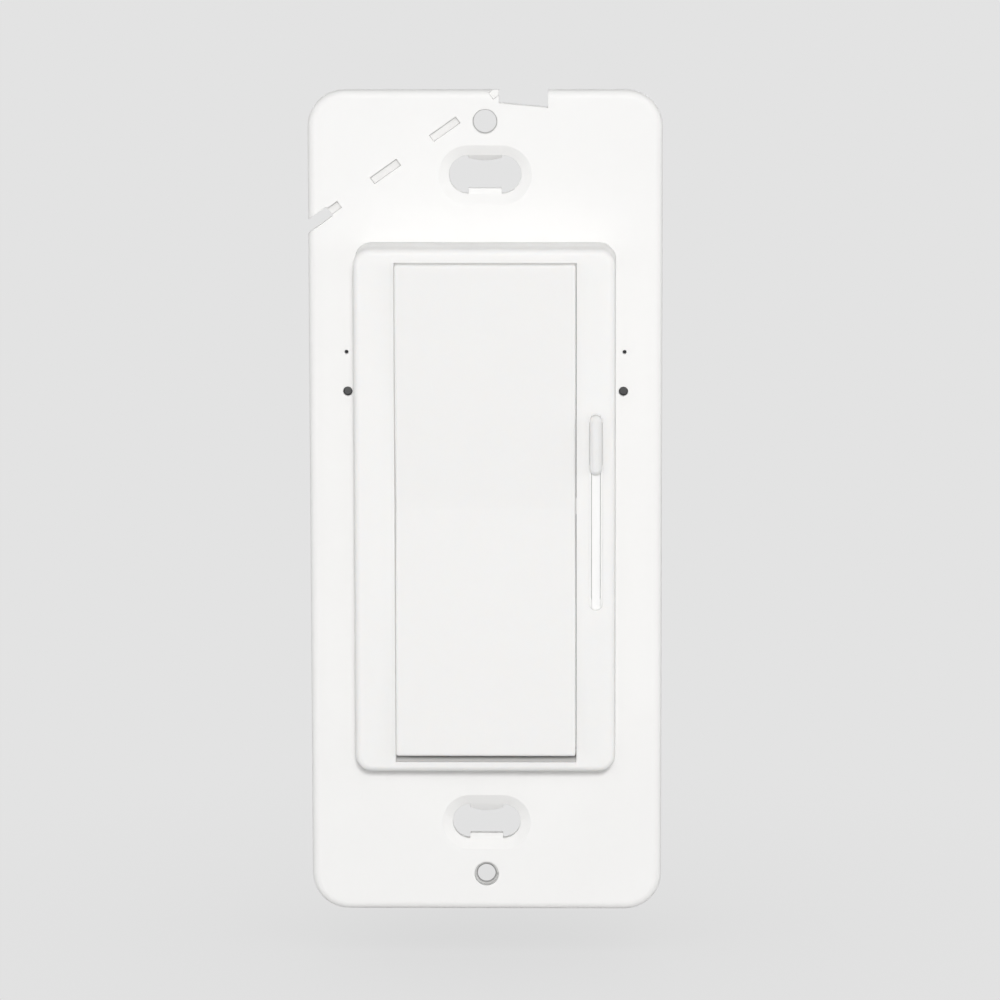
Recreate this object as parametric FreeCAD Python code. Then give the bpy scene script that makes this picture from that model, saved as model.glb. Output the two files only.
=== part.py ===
import FreeCAD, Part
import math
import os

# Smart dimmer switch, upright as on the wall. All sizes are in millimetres.
# +X is to the right and +Z is up, seen from the front, and +Y goes back into the wall box.
# The origin is the centre of the box-screw pattern, on the rear face of the yoke.

# Sides of the prisms that stand for small or hidden round pieces, and the slack in comparing places
small_sides = 12
head_sides = 24
same_place = 1e-3

# Fixing pattern of a standard wall box and wall plate
box_screw_spacing = 83.34
cover_screw_spacing = 96.84
cover_screw_r = 1.55

# Yoke
yoke_width = 44.75
yoke_height = 105.5
yoke_middle_z = -0.4
yoke_thickness = 1.8
yoke_corner_r = 4.7
yoke_edge_r = 1.0
slot_lengths = {1: 9.15, -1: 8.7}
slot_heights = {1: 4.85, -1: 4.5}
dish_margin = 1.3
dish_depth = 0.75
tab_width = 4.2
lower_tab_rise = 0.68
upper_tab_drops = {1: 0.7, -1: 0.98}
upper_tab_edge = 0.3
window_gap = 0.02

# Break-off grooves across the yoke's upper left corner, and the notch in its top edge
groove_angle = 35.5
groove_start_z = 35.1
groove_first = 0.8
groove_pitch = 9.2
groove_length = 4.1
groove_width = 1.0
groove_depth = 0.9
groove_count = 4
edge_cut_length = 3.3
edge_cut_width = 1.45
notch_left_x = 1.75
notch_right_x = 7.93
notch_left_depth = 1.63
notch_right_depth = 2.21

# Bezel
bezel_width = 32.9
bezel_height = 66.6
bezel_middle_z = -0.2
bezel_rise = 7.5
bezel_corner_r = 2.1
bezel_edge_r = 0.8
bezel_wall = 1.05
bezel_face = 1.8
snap_depth = 1.1
shroud_wall = 0.95
shroud_depth = 6.1
rib_thickness = 0.8
rib_count = 5
snap_length = 5.0
snap_reach = 0.75
snap_gap = 0.1
upper_snap_z = 24.5
lower_snap_z = -22.8

# Paddle
paddle_left_margin = 5.19
paddle_right_margin = 4.99
paddle_top_margin = 1.85
paddle_bottom_margin = 2.18
paddle_gap = 0.08
paddle_top_gap = 0.14
paddle_bottom_gap = 0.92
paddle_proud = 0.85
paddle_skin = 1.5
paddle_depth = 4.3
paddle_edge_r = 0.35
paddle_rib = 1.0
paddle_rib_depth = 1.6
paddle_rib_pitch = 10.0

# Rocker pivot and its range
pivot_z = 0.4
pivot_depth = 1.6
trunnion_r = 1.0
trunnion_reach = 0.65
trunnion_clearance = 0.06
bearing_end_gap = 0.08
thrust_boss_r = 1.2
thrust_gap = 0.05
rock_deg = 1.6

# Plungers, their springs and the snap domes
plunger_arm = 24.0
post_r = 1.5
post_tip_r = 0.5
stem_r = 1.5
stem_clearance = 0.08
head_side = 5.0
head_thickness = 0.8
post_gap = 0.03
spring_wire = 0.36
spring_steps = 10
spring_r = 2.15
spring_turns = 3
spring_length = 2.85
dome_side = 4.4
dome_slope = 0.25
dome_rise = 0.35
dome_thickness = 0.1
dome_stroke = 0.24

# Slider
slider_beside_paddle = 2.54
groove_half_width = 0.85
bezel_lip = 0.5
knob_width = 1.55
knob_length = 7.49
knob_top_z = 12.22
knob_proud = 1.2
knob_cap_thickness = 1.5
knob_chamfer = 0.4
slider_travel = 17.3
slider_end_gap = 0.12
knob_leg = 0.2
knob_leg_length = 5.4
shutter_width = 2.5
shutter_thickness = 0.3
shutter_gap = 0.08
shutter_leg_gap = 0.04
shutter_overlap = 0.9
shutter_bridge = 0.7
saddle_gap = 0.03
light_bar_width = 1.05
light_bar_depth = 2.6
light_bar_recess = 0.4
light_cap_gap = 0.05
light_foot_length = 1.3
light_foot_gap = 0.9
carriage_width = 2.2
carriage_length = 7.0
carriage_depth = 1.6
carriage_gap = 0.3
lever_x_offset = -0.7
lever_width = 1.1
lever_length = 2.6
foot_length = 4.6
foot_thickness = 0.9

# Potentiometer
pot_width = 3.9
pot_height = 3.4
pot_wall = 0.7
pot_floor = 0.8
pot_end_gap = 1.2
track_thickness = 0.15
wiper_thickness = 0.15
wiper_width = 1.4

# Switch carrier
carrier_thickness = 1.1
carrier_gap = 0.4
standoff_height = 1.0
standoff_side = 3.0
standoff_spread = 8.5

# Boards
control_board_y = 1.2
board_thickness = 1.6
board_end_gap = 1.6
board_terminal_gap = 0.8

# Parts on the boards
led_length = 1.6
led_width = 1.2
led_height = 0.8
led_gap = 0.1
chip_side = 7.0
chip_height = 0.9
radio_width = 13.0
radio_height = 17.0
radio_thickness = 2.4
pin_count = 6
pin_pitch = 2.54
pin_side = 0.64
header_block_depth = 2.5
header_x = 10.0
header_z = 2.0
choke_core_r = 8.2
choke_hole_r = 4.4
choke_depth = 7.5
choke_cover = 1.0
choke_sides = 16
choke_x = -1.0
choke_z = 19.5
film_width = 18.0
film_height = 7.5
film_depth = 13.0
film_z = -26.2
can_r = 5.0
can_depth = 14.0
can_x = 3.0
can_z = 1.5
varistor_r = 5.3
varistor_thickness = 4.0
varistor_lift = 1.0
varistor_x = -3.5
varistor_z = -10.0
fuse_length = 8.4
fuse_width = 4.2
fuse_depth = 7.6
fuse_x = 9.5
fuse_z = -13.0

# Triac on the yoke's rear rib
rib_gap = 0.9
rib_wall = 1.8
rib_board_gap = 5.0
rib_length = 18.0
triac_z = -11.0
triac_width = 10.0
triac_lead_length = 3.0
triac_tab_length = 15.4
triac_tab_thickness = 1.3
triac_body_length = 9.2
triac_body_thickness = 3.2
triac_lead = 0.8
triac_lead_pitch = 2.54
triac_hole_inset = 2.8
pad_thickness = 0.4
pad_margin = 0.7
triac_screw_r = 1.5
triac_screw_head_r = 2.75
triac_screw_head = 1.8

# Housing
housing_end_room = 1.8
housing_depth = 30.0
housing_wall = 1.5
housing_corner_r = 3.0
housing_rear_chamfer = 1.4
panel_width = 25.0
panel_height = 44.0
panel_corner_r = 1.5
panel_depth = 0.3
ledge_depth = 3.0
ledge_width = 20.0
ledge_reach = 1.6
post_spread_x = 11.0
post_spread_z = 29.0
board_post_side = 3.4
board_post_length = 4.9

# Housing screws and locating pips
screw_beside_bezel = 1.01
screw_to_side = 3.44
upper_screw_z = 14.15
lower_screw_z = -28.6
screw_r = 0.56
screw_clearance = 0.05
screw_tip_recess = 0.5
screw_head_r = 1.55
screw_head = 1.3
screw_seat_y = 8.0
column_side = 4.4
head_clearance = 0.15
boss_r = 1.9
boss_height = 4.0
pip_beside_bezel = 1.15
pip_z = 19.18
pip_r = 0.22
pip_clearance = 0.04
pip_recess = 0.6
pip_bridge = 1.6

# Side terminals
right_terminals = (4.5, -13.0)
neutral_z = 25.0
ground_z = 4.5
pocket_height = 9.6
pocket_length = 10.0
pocket_board_gap = 5.0
pocket_depth = 5.2
pocket_wall = 1.2
strap_thickness = 1.0
strap_width = 6.0
strap_foot = 2.6
clamp_side = 8.2
clamp_thickness = 1.2
terminal_screw_r = 1.7
terminal_head_r = 3.6
terminal_head = 2.2
terminal_head_chamfer = 0.5
terminal_slot = 0.9
terminal_clearance = 0.08

# Faces and places worked out from the sizes above
yoke_front = -yoke_thickness
bezel_front = yoke_front - bezel_rise
bezel_under = bezel_front + bezel_face
shroud_end = bezel_front + shroud_depth
pivot_y = bezel_front + pivot_depth
paddle_left = -bezel_width / 2 + paddle_left_margin
paddle_right = bezel_width / 2 - paddle_right_margin
bezel_top = bezel_middle_z + bezel_height / 2
bezel_bottom = bezel_middle_z - bezel_height / 2
paddle_top = bezel_top - paddle_top_margin
paddle_bottom = bezel_bottom + paddle_bottom_margin
paddle_width = paddle_right - paddle_left
paddle_height = paddle_top - paddle_bottom
paddle_x = (paddle_left + paddle_right) / 2
paddle_skirt_y = bezel_front + paddle_depth
opening_left = paddle_left - paddle_gap
opening_right = paddle_right + paddle_gap
opening_top = paddle_top + paddle_top_gap
opening_bottom = paddle_bottom - paddle_bottom_gap
slider_x = paddle_right + slider_beside_paddle
knob_z = knob_top_z - knob_length / 2
slider_z = knob_z - slider_travel / 2
slider_groove_length = knob_length + slider_travel + 2 * slider_end_gap
shutter_length = slider_groove_length + slider_travel + 2 * shutter_overlap
shutter_front = bezel_front + bezel_lip + shutter_gap
shutter_rear = shutter_front + shutter_thickness
channel_x = (opening_right + shroud_wall, bezel_width / 2 - bezel_wall)
channel_length = shutter_length + slider_travel + 2 * slider_end_gap
knob_under = bezel_front - knob_proud + knob_cap_thickness
light_top = bezel_front + light_bar_recess
light_under = light_top + light_bar_depth
carriage_y = light_under + carriage_gap
lever_x = slider_x + lever_x_offset
pot_front = control_board_y - pot_height
pot_channel = control_board_y - pot_floor
pot_length = slider_travel + foot_length + 2 * pot_end_gap
carrier_rear = control_board_y - standoff_height
carrier_y = carrier_rear - carrier_thickness
head_y = carrier_y - spring_length - head_thickness
screw_x = bezel_width / 2 + screw_beside_bezel
pip_x = bezel_width / 2 + pip_beside_bezel
housing_width = 2 * (screw_x + screw_to_side)
housing_height = bezel_height + 2 * housing_end_room
housing_floor_y = housing_depth - housing_wall
pocket_floor_x = housing_width / 2 - pocket_depth
rib_x = -(housing_width / 2 - housing_wall - rib_gap - rib_wall / 2)
board_width = 2 * (pocket_floor_x - board_terminal_gap)
board_height = housing_height - 2 * (housing_wall + board_end_gap)
control_board_rear = control_board_y + board_thickness
power_board_y = housing_floor_y - board_post_length - board_thickness
pocket_rear_y = power_board_y - pocket_board_gap
pocket_front_y = pocket_rear_y - pocket_length
pocket_y = (pocket_front_y + pocket_rear_y) / 2
rib_reach = power_board_y - rib_board_gap
triac_y = power_board_y - triac_lead_length - triac_tab_length
triac_hole_y = triac_y + triac_hole_inset
plunger_stroke = plunger_arm * math.sin(math.radians(rock_deg))
stem_end_y = control_board_y - dome_rise + dome_stroke - plunger_stroke
plunger_places = {"upper": pivot_z + plunger_arm, "lower": pivot_z - plunger_arm}

X = FreeCAD.Vector(1, 0, 0)
Y = FreeCAD.Vector(0, 1, 0)
Z = FreeCAD.Vector(0, 0, 1)


def at(x, y, z):
    return FreeCAD.Vector(x, y, z)


def block(x, y, z):
    """A box from three (low, high) pairs."""
    return Part.makeBox(x[1] - x[0], y[1] - y[0], z[1] - z[0], at(x[0], y[0], z[0]))


def around(middle, size):
    """The (low, high) pair of a size centred on a middle."""
    return (middle - size / 2, middle + size / 2)


def rod(radius, start, along, length):
    return Part.makeCylinder(radius, length, start, along)


def faceted(sides, radius, start, along, length):
    """A prism with many equal sides, for a round piece that is small or hidden."""
    turns = [2 * math.pi * n / sides for n in range(sides)]
    corners = [at(radius * math.cos(t), radius * math.sin(t), 0) for t in turns]
    prism_shape = Part.Face(Part.makePolygon(corners + corners[:1])).extrude(Z * length)
    prism_shape.Placement = FreeCAD.Placement(start, FreeCAD.Rotation(Z, along))
    return prism_shape


def pin(radius, start, along, length):
    return faceted(small_sides, radius, start, along, length)


def union(shapes):
    first, *others = shapes
    return first.fuse(others).removeSplitter() if others else first


def rounded_rect(width, height, radius, y, x=0.0, z=0.0):
    """A wire in the plane of the given y, with rounded corners."""
    a = width / 2 - radius
    b = height / 2 - radius
    corners = ((a, b, 0), (-a, b, 90), (-a, -b, 180), (a, -b, 270))
    edges = []
    points = []
    for cx, cz, start in corners:
        ring = [math.radians(start + turn) for turn in (0, 45, 90)]
        arc = [at(x + cx + radius * math.cos(t), y, z + cz + radius * math.sin(t)) for t in ring]
        points.append((arc[0], arc[2]))
        edges.append(Part.Arc(*arc).toShape())
    for n, (start, end) in enumerate(points):
        follower = points[(n + 1) % len(points)][0]
        if end.distanceToPoint(follower) > same_place:
            edges.append(Part.LineSegment(end, follower).toShape())
    return Part.Wire(Part.__sortEdges__(edges))


def stadium(length, width, y, x=0.0, z=0.0):
    """A wire with two round ends, longer along X, in the plane of the given y."""
    a = (length - width) / 2
    r = width / 2
    right = Part.Arc(at(x + a, y, z - r), at(x + a + r, y, z), at(x + a, y, z + r))
    left = Part.Arc(at(x - a, y, z + r), at(x - a - r, y, z), at(x - a, y, z - r))
    top = Part.LineSegment(at(x + a, y, z + r), at(x - a, y, z + r))
    bottom = Part.LineSegment(at(x - a, y, z - r), at(x + a, y, z - r))
    return Part.Wire([part.toShape() for part in (right, top, left, bottom)])


def upright_stadium(length, width, y, x, z):
    """The same outline, longer along Z."""
    wire = stadium(length, width, y)
    wire.rotate(at(0, y, 0), Y, 90)
    wire.translate(at(x, 0, z))
    return wire


def prism(wire, y_end):
    """The solid between a wire and the same wire at another y."""
    return Part.Face(wire).extrude(Y * (y_end - wire.BoundBox.YMin))


def end_edges(shape, point, along):
    """The edges of a shape whose ends lie in the plane through a point, square to a direction."""
    return [e for e in shape.Edges if all(abs((v.Point - point).dot(along)) < same_place for v in e.Vertexes)]


def slot(side):
    """The box-screw slot above or below, through the yoke."""
    z = side * box_screw_spacing / 2
    return prism(stadium(slot_lengths[side], slot_heights[side], yoke_front, z=z), 0)


def dish(side):
    """The dished seat of a screw head round a box-screw slot."""
    z = side * box_screw_spacing / 2
    length = slot_lengths[side]
    height = slot_heights[side]
    outer = stadium(length + 2 * dish_margin, height + 2 * dish_margin, yoke_front, z=z)
    inner = stadium(length, height, yoke_front + dish_depth, z=z)
    return Part.makeLoft([outer, inner], True, True)


def lower_tab(side):
    """The centring tab that reaches up into a box-screw slot."""
    low = side * box_screw_spacing / 2 - slot_heights[side] / 2
    tab_z = (low - dish_margin, low + lower_tab_rise)
    return block(around(0, tab_width), (yoke_front + dish_depth, 0), tab_z)


def upper_tab(side):
    """The tab above it, with a curved lower edge and a face that slopes back into the slot."""
    high = side * box_screw_spacing / 2 + slot_heights[side] / 2
    drop = upper_tab_drops[side]
    front = yoke_front + dish_depth
    half = tab_width / 2
    left_corner = at(-half, front, high - drop / 2)
    right_corner = at(half, front, high - drop / 2)
    edge = Part.Arc(left_corner, at(0, front, high - drop), right_corner)
    root_z = high + dish_margin
    root = [right_corner, at(half, front, root_z), at(-half, front, root_z), left_corner]
    tab = prism(Part.Wire([edge.toShape()] + Part.makePolygon(root).Edges), 0)
    slope = [at(-half, front, high), at(-half, front, high - drop), at(-half, -upper_tab_edge, high - drop)]
    return tab.cut(Part.Face(Part.makePolygon(slope + slope[:1])).extrude(X * tab_width))


def break_off_cuts():
    """The blind grooves of the break-off line, and its open start in the left edge."""
    cuts = []
    for n in range(groove_count):
        start = groove_first + n * groove_pitch
        x = (start, start + groove_length)
        cuts.append(block(x, (yoke_front, yoke_front + groove_depth), around(0, groove_width)))
    overrun = edge_cut_width
    cuts.append(block((-overrun, edge_cut_length), (yoke_front, 0), around(0, edge_cut_width)))
    for cut in cuts:
        cut.rotate(at(0, 0, 0), Y, -groove_angle)
        cut.translate(at(-yoke_width / 2, 0, groove_start_z))
    return cuts


def edge_notch():
    """The notch in the top edge, with its sloping floor."""
    top = yoke_middle_z + yoke_height / 2
    points = [
        at(notch_left_x, yoke_front, top - notch_left_depth),
        at(notch_right_x, yoke_front, top - notch_right_depth),
        at(notch_right_x, yoke_front, top + yoke_edge_r),
        at(notch_left_x, yoke_front, top + yoke_edge_r),
    ]
    return prism(Part.makePolygon(points + points[:1]), 0)


def yoke():
    body = prism(rounded_rect(yoke_width, yoke_height, yoke_corner_r, yoke_front, z=yoke_middle_z), 0)
    body = body.makeFillet(yoke_edge_r, end_edges(body, at(0, yoke_front, 0), Y))
    rib = block(around(rib_x, rib_wall), (0, rib_reach), around(triac_z, rib_length))
    bosses = [pin(boss_r, at(side * screw_x, 0, lower_screw_z), Y, boss_height) for side in (-1, 1)]
    body = union([body, rib] + bosses)
    window_size = (bezel_width + 2 * window_gap, bezel_height + 2 * window_gap)
    window = rounded_rect(*window_size, bezel_corner_r + window_gap, yoke_front, z=bezel_middle_z)
    cuts = [prism(window, 0), edge_notch()] + break_off_cuts()
    tabs = []
    for side in (-1, 1):
        cuts += [dish(side), slot(side)]
        tabs += [lower_tab(side), upper_tab(side)]
        mouth = at(0, yoke_front, side * cover_screw_spacing / 2)
        cuts.append(rod(cover_screw_r, mouth, Y, yoke_thickness))
        hole_r = screw_r + screw_clearance
        cuts.append(pin(hole_r, at(side * screw_x, yoke_front, upper_screw_z), Y, yoke_thickness))
        cuts.append(pin(hole_r, at(side * screw_x, 0, lower_screw_z), Y, boss_height))
        cuts.append(pin(pip_r + pip_clearance, at(side * pip_x, yoke_front, pip_z), Y, yoke_thickness))
    hole = at(rib_x - rib_wall / 2, triac_hole_y, triac_z)
    cuts.append(pin(triac_screw_r + screw_clearance, hole, X, rib_wall))
    return union([body.cut(cuts)] + tabs)


def bezel_rib_places():
    """The heights of the stiffening ribs in the bezel's left channel."""
    span = bezel_height - 2 * bezel_wall
    return [bezel_middle_z - span / 2 + span * (n + 1) / (rib_count + 1) for n in range(rib_count)]


def bezel():
    outline = rounded_rect(bezel_width, bezel_height, bezel_corner_r, bezel_front, z=bezel_middle_z)
    body = prism(outline, 0)
    body = body.makeFillet(bezel_edge_r, end_edges(body, at(0, bezel_front, 0), Y))
    inner_width = bezel_width - 2 * bezel_wall
    inner_height = bezel_height - 2 * bezel_wall
    inner_r = bezel_corner_r - bezel_wall
    cavity = prism(rounded_rect(inner_width, inner_height, inner_r, bezel_under, z=bezel_middle_z), 0)
    opening = block((opening_left, opening_right), (bezel_front, bezel_under), (opening_bottom, opening_top))
    groove = upright_stadium(slider_groove_length, 2 * groove_half_width, bezel_front, slider_x, slider_z)
    channel = block(channel_x, (bezel_front + bezel_lip, bezel_under), around(slider_z, channel_length))
    shell = body.cut([cavity, opening, prism(groove, bezel_under), channel])
    inside_z = around(bezel_middle_z, inner_height)
    left_shroud = (opening_left - shroud_wall, opening_left)
    right_shroud = (opening_right, opening_right + shroud_wall)
    walls = [block(x, (bezel_under, shroud_end), inside_z) for x in (left_shroud, right_shroud)]
    left_side = (-inner_width / 2, left_shroud[0])
    for z in bezel_rib_places():
        walls.append(block(left_side, (bezel_under, shroud_end), around(z, rib_thickness)))
    for side in (-1, 1):
        for z in (lower_snap_z, upper_snap_z):
            walls.append(snap_hook(side, z))
    shell = union([shell] + walls)
    bearing_r = trunnion_r + trunnion_clearance
    bearing_depth = trunnion_reach - paddle_gap + bearing_end_gap
    left_hole = rod(bearing_r, at(opening_left - bearing_depth, pivot_y, pivot_z), X, bearing_depth)
    right_hole = rod(bearing_r, at(opening_right, pivot_y, pivot_z), X, bearing_depth)
    return shell.cut([left_hole, right_hole])


def snap_hook(side, z):
    """A leg on the bezel's wall whose wedge catches behind the yoke."""
    wall_x = side * bezel_width / 2
    profile = [
        at(wall_x - side * bezel_wall, 0, z - snap_length / 2),
        at(wall_x, 0, z - snap_length / 2),
        at(wall_x, snap_gap, z - snap_length / 2),
        at(wall_x + side * snap_reach, snap_gap, z - snap_length / 2),
        at(wall_x, snap_depth, z - snap_length / 2),
        at(wall_x - side * bezel_wall, snap_depth, z - snap_length / 2),
    ]
    return Part.Face(Part.makePolygon(profile + profile[:1])).extrude(Z * snap_length)


def paddle_side(inset, depth):
    """The paddle's side view: a shallow V in front, creased at the pivot's height."""
    top = paddle_top - inset
    bottom = paddle_bottom + inset
    crease_y = bezel_front + depth
    rise_top = paddle_proud * (top - pivot_z) / (paddle_top - pivot_z)
    rise_bottom = paddle_proud * (pivot_z - bottom) / (pivot_z - paddle_bottom)
    points = [
        at(0, crease_y, pivot_z),
        at(0, crease_y - rise_bottom, bottom),
        at(0, paddle_skirt_y, bottom),
        at(0, paddle_skirt_y, top),
        at(0, crease_y - rise_top, top),
    ]
    return Part.Face(Part.makePolygon(points + points[:1]))


def paddle_post(z):
    """A post under the paddle, tapered to the tip that bears on a plunger."""
    tip = at(paddle_x, head_y - post_gap, z)
    root_y = bezel_front + paddle_skin / 2
    post = pin(post_r, at(paddle_x, root_y, z), Y, tip.y - root_y)
    return post.makeChamfer(post_r - post_tip_r, end_edges(post, tip, Y))


def paddle():
    body = paddle_side(0, 0).extrude(X * paddle_width)
    body.translate(X * paddle_left)
    inside = set(e.hashCode() for e in end_edges(body, at(0, paddle_skirt_y, 0), Y))
    body = body.makeFillet(paddle_edge_r, [e for e in body.Edges if e.hashCode() not in inside])
    inner_width = paddle_width - 2 * paddle_skin
    pocket = paddle_side(paddle_skin, paddle_skin).extrude(X * inner_width)
    pocket.translate(X * (paddle_left + paddle_skin))
    parts = [body.cut(pocket)]
    rib_y = (bezel_front + paddle_skin / 2, bezel_front + paddle_skin + paddle_rib_depth)
    rib_width = (paddle_left + paddle_skin / 2, paddle_right - paddle_skin / 2)
    steps = int((paddle_height / 2 - paddle_skin) / paddle_rib_pitch)
    for n in range(-steps, steps + 1):
        parts.append(block(rib_width, rib_y, around(pivot_z + n * paddle_rib_pitch, paddle_rib)))
    parts += [paddle_post(z) for z in plunger_places.values()]
    root = paddle_skin / 2
    for side, face in ((-1, paddle_left), (1, paddle_right)):
        start = at(face - side * root, pivot_y, pivot_z)
        parts.append(pin(thrust_boss_r, start, X * side, root + paddle_gap - thrust_gap))
        parts.append(rod(trunnion_r, start, X * side, root + trunnion_reach))
    return union(parts)


def plunger(z):
    """A plunger with a square head for the paddle and a guided stem for the dome."""
    head = block(around(paddle_x, head_side), (head_y, head_y + head_thickness), around(z, head_side))
    stem = pin(stem_r, at(paddle_x, head_y, z), Y, stem_end_y - head_y)
    return union([head, stem])


def plunger_spring(z):
    """A compression spring of square wire, lofted along its turns from the plunger's head to the carrier."""
    front = head_y + head_thickness + spring_wire / 2
    rear = carrier_y - spring_wire / 2
    steps = spring_steps * spring_turns
    half = spring_wire / 2
    sections = []
    for n in range(steps + 1):
        turn = 2 * math.pi * n / spring_steps
        y = front + (rear - front) * n / steps
        corners = []
        for dr, dy in ((-half, -half), (half, -half), (half, half), (-half, half)):
            r = spring_r + dr
            corners.append(at(paddle_x + r * math.cos(turn), y + dy, z + r * math.sin(turn)))
        sections.append(Part.makePolygon(corners + corners[:1]))
    return Part.makeLoft(sections, True, True)


def dome(side, rise, z):
    """A low square cap on the control board that slopes in all round."""
    cap = block(around(paddle_x, side), (control_board_y - rise, control_board_y), around(z, side))
    return cap.makeChamfer(dome_slope, end_edges(cap, at(0, control_board_y - rise, 0), Y))


def switch_domes():
    """The snap domes on the control board, one under each plunger."""
    domes = []
    for z in plunger_places.values():
        hollow = dome(dome_side - 2 * dome_thickness, dome_rise - dome_thickness / 2, z)
        domes.append(dome(dome_side, dome_rise, z).cut(hollow))
    return Part.makeCompound(domes)


def switch_carrier():
    """The inner frame: a plate with guide holes, an upstand under the bezel and feet on the board."""
    left = -(bezel_width / 2 - bezel_wall - carrier_gap)
    right = lever_x - pot_width / 2 - carrier_gap
    span = around(bezel_middle_z, bezel_height - 2 * (bezel_wall + carrier_gap))
    parts = [block((left, right), (carrier_y, carrier_rear), span)]
    upstand = (opening_left - shroud_wall, opening_left)
    parts.append(block(upstand, (shroud_end, carrier_y), span))
    for z in plunger_places.values():
        for side in (-1, 1):
            foot_x = around(paddle_x + side * standoff_spread, standoff_side)
            parts.append(block(foot_x, (carrier_rear, control_board_y), around(z, standoff_side)))
    body = union(parts)
    guides = [
        pin(stem_r + stem_clearance, at(paddle_x, carrier_y, z), Y, carrier_thickness)
        for z in plunger_places.values()
    ]
    return body.cut(guides)


def slider_knob():
    """A slim cap with two thin legs that straddle the light bar."""
    front = bezel_front - knob_proud
    cap = prism(upright_stadium(knob_length, knob_width, front, slider_x, knob_z), knob_under)
    cap = cap.makeChamfer(knob_chamfer, end_edges(cap, at(0, front, 0), Y))
    legs = []
    for side in (-1, 1):
        outer = slider_x + side * knob_width / 2
        x = sorted((outer, outer - side * knob_leg))
        legs.append(block(x, (knob_under - knob_leg, carriage_y), around(knob_z, knob_leg_length)))
    return union([cap] + legs)


def slider_shutter():
    """A thin frame that closes the slider groove beside the light bar, carried along by the knob's legs."""
    shutter_y = (shutter_front, shutter_rear)
    frame = block(around(slider_x, shutter_width), shutter_y, around(knob_z, shutter_length))
    inner_x = around(slider_x, knob_width - 2 * knob_leg)
    window = block(inner_x, shutter_y, around(knob_z, shutter_length - 2 * shutter_bridge))
    leg_x = around(slider_x, knob_width + 2 * shutter_leg_gap)
    notches = block(leg_x, shutter_y, around(knob_z, knob_leg_length + 2 * shutter_leg_gap))
    return frame.cut([window, notches])


def slider_carriage():
    """The block under the light bar, with the lever that reaches into the potentiometer."""
    lever_y = carriage_y + carriage_depth
    foot_y = pot_channel - carriage_gap - wiper_thickness - foot_thickness
    foot_width = pot_width - 2 * pot_wall - 2 * carriage_gap
    body = block(around(slider_x, carriage_width), (carriage_y, lever_y), around(knob_z, carriage_length))
    lever = block(around(lever_x, lever_width), (lever_y, foot_y), around(knob_z, lever_length))
    foot = block(around(lever_x, foot_width), (foot_y, foot_y + foot_thickness), around(knob_z, foot_length))
    return union([body, lever, foot])


def wiper():
    """The contact strip under the lever's foot."""
    rear = pot_channel - carriage_gap
    return block(around(lever_x, wiper_width), (rear - wiper_thickness, rear), around(knob_z, foot_length))


def slide_potentiometer():
    """The potentiometer's channel, open towards the lever."""
    body = block(around(lever_x, pot_width), (pot_front, control_board_y), around(slider_z, pot_length))
    channel_x = around(lever_x, pot_width - 2 * pot_wall)
    channel_z = around(slider_z, pot_length - 2 * pot_wall)
    return body.cut(block(channel_x, (pot_front, pot_channel), channel_z))


def resistive_track():
    length = slider_travel + foot_length
    rear = pot_channel
    return block(around(lever_x, wiper_width), (rear - track_thickness, rear), around(slider_z, length))


def light_foot_places():
    """The heights of the light guide's two feet, beyond the potentiometer's ends."""
    reach = pot_length / 2 + light_foot_gap + light_foot_length / 2
    return (slider_z - reach, slider_z + reach)


def light_guide():
    """The bar in the slider groove, with tongues, and at each end a foot and a saddle across the channel."""
    bar_x = around(slider_x, light_bar_width)
    bar_length = slider_groove_length - 2 * light_cap_gap
    bar = prism(upright_stadium(bar_length, light_bar_width, light_top, slider_x, slider_z), light_under)
    low, high = light_foot_places()
    ends = (low - light_foot_length / 2, high + light_foot_length / 2)
    tongue = block(bar_x, (bezel_under, light_under), ends)
    foot_end = control_board_y - led_height - led_gap
    saddle_x = (channel_x[0] + saddle_gap, channel_x[1] - saddle_gap)
    parts = [bar, tongue]
    for z in (low, high):
        foot_z = around(z, light_foot_length)
        parts.append(block(bar_x, (light_under, foot_end), foot_z))
        parts.append(block(saddle_x, (shutter_rear + shutter_gap, light_under), foot_z))
    return union(parts)


def slider_leds():
    led_x = around(slider_x, led_width)
    led_y = (control_board_y - led_height, control_board_y)
    return Part.makeCompound([block(led_x, led_y, around(z, led_length)) for z in light_foot_places()])


def control_board():
    return block(around(0, board_width), (control_board_y, control_board_rear), around(0, board_height))


def power_board():
    rear = power_board_y + board_thickness
    return block(around(0, board_width), (power_board_y, rear), around(0, board_height))


def microcontroller():
    y = (control_board_rear, control_board_rear + chip_height)
    return block(around(0, chip_side), y, around(-chip_side, chip_side))


def radio_module():
    y = (control_board_rear, control_board_rear + radio_thickness)
    z = around(board_height / 2 - radio_height, radio_height)
    return block(around(0, radio_width), y, z)


def header_places():
    return [header_z + (n - (pin_count - 1) / 2) * pin_pitch for n in range(pin_count)]


def header_pins():
    """The pins that join the two boards, soldered against their facing sides."""
    pin_x = around(header_x, pin_side)
    pin_y = (control_board_rear, power_board_y)
    return Part.makeCompound([block(pin_x, pin_y, around(z, pin_side)) for z in header_places()])


def header_blocks():
    """The two plastic strips that hold the pins, one on each board."""
    strip_z = around(header_z, pin_count * pin_pitch)
    blocks = []
    for start in (control_board_rear, power_board_y - header_block_depth):
        strip_y = (start, start + header_block_depth)
        blocks.append(block(around(header_x, header_block_depth), strip_y, strip_z).cut(header_pins()))
    return Part.makeCompound(blocks)


def choke_ring(outer_r, inner_r, cover):
    """A flat-sided ring over the power board, set in by a cover at both faces."""
    start = at(choke_x, power_board_y - choke_depth + cover, choke_z)
    depth = choke_depth - 2 * cover
    return faceted(choke_sides, outer_r, start, Y, depth).cut(faceted(choke_sides, inner_r, start, Y, depth))


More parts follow.
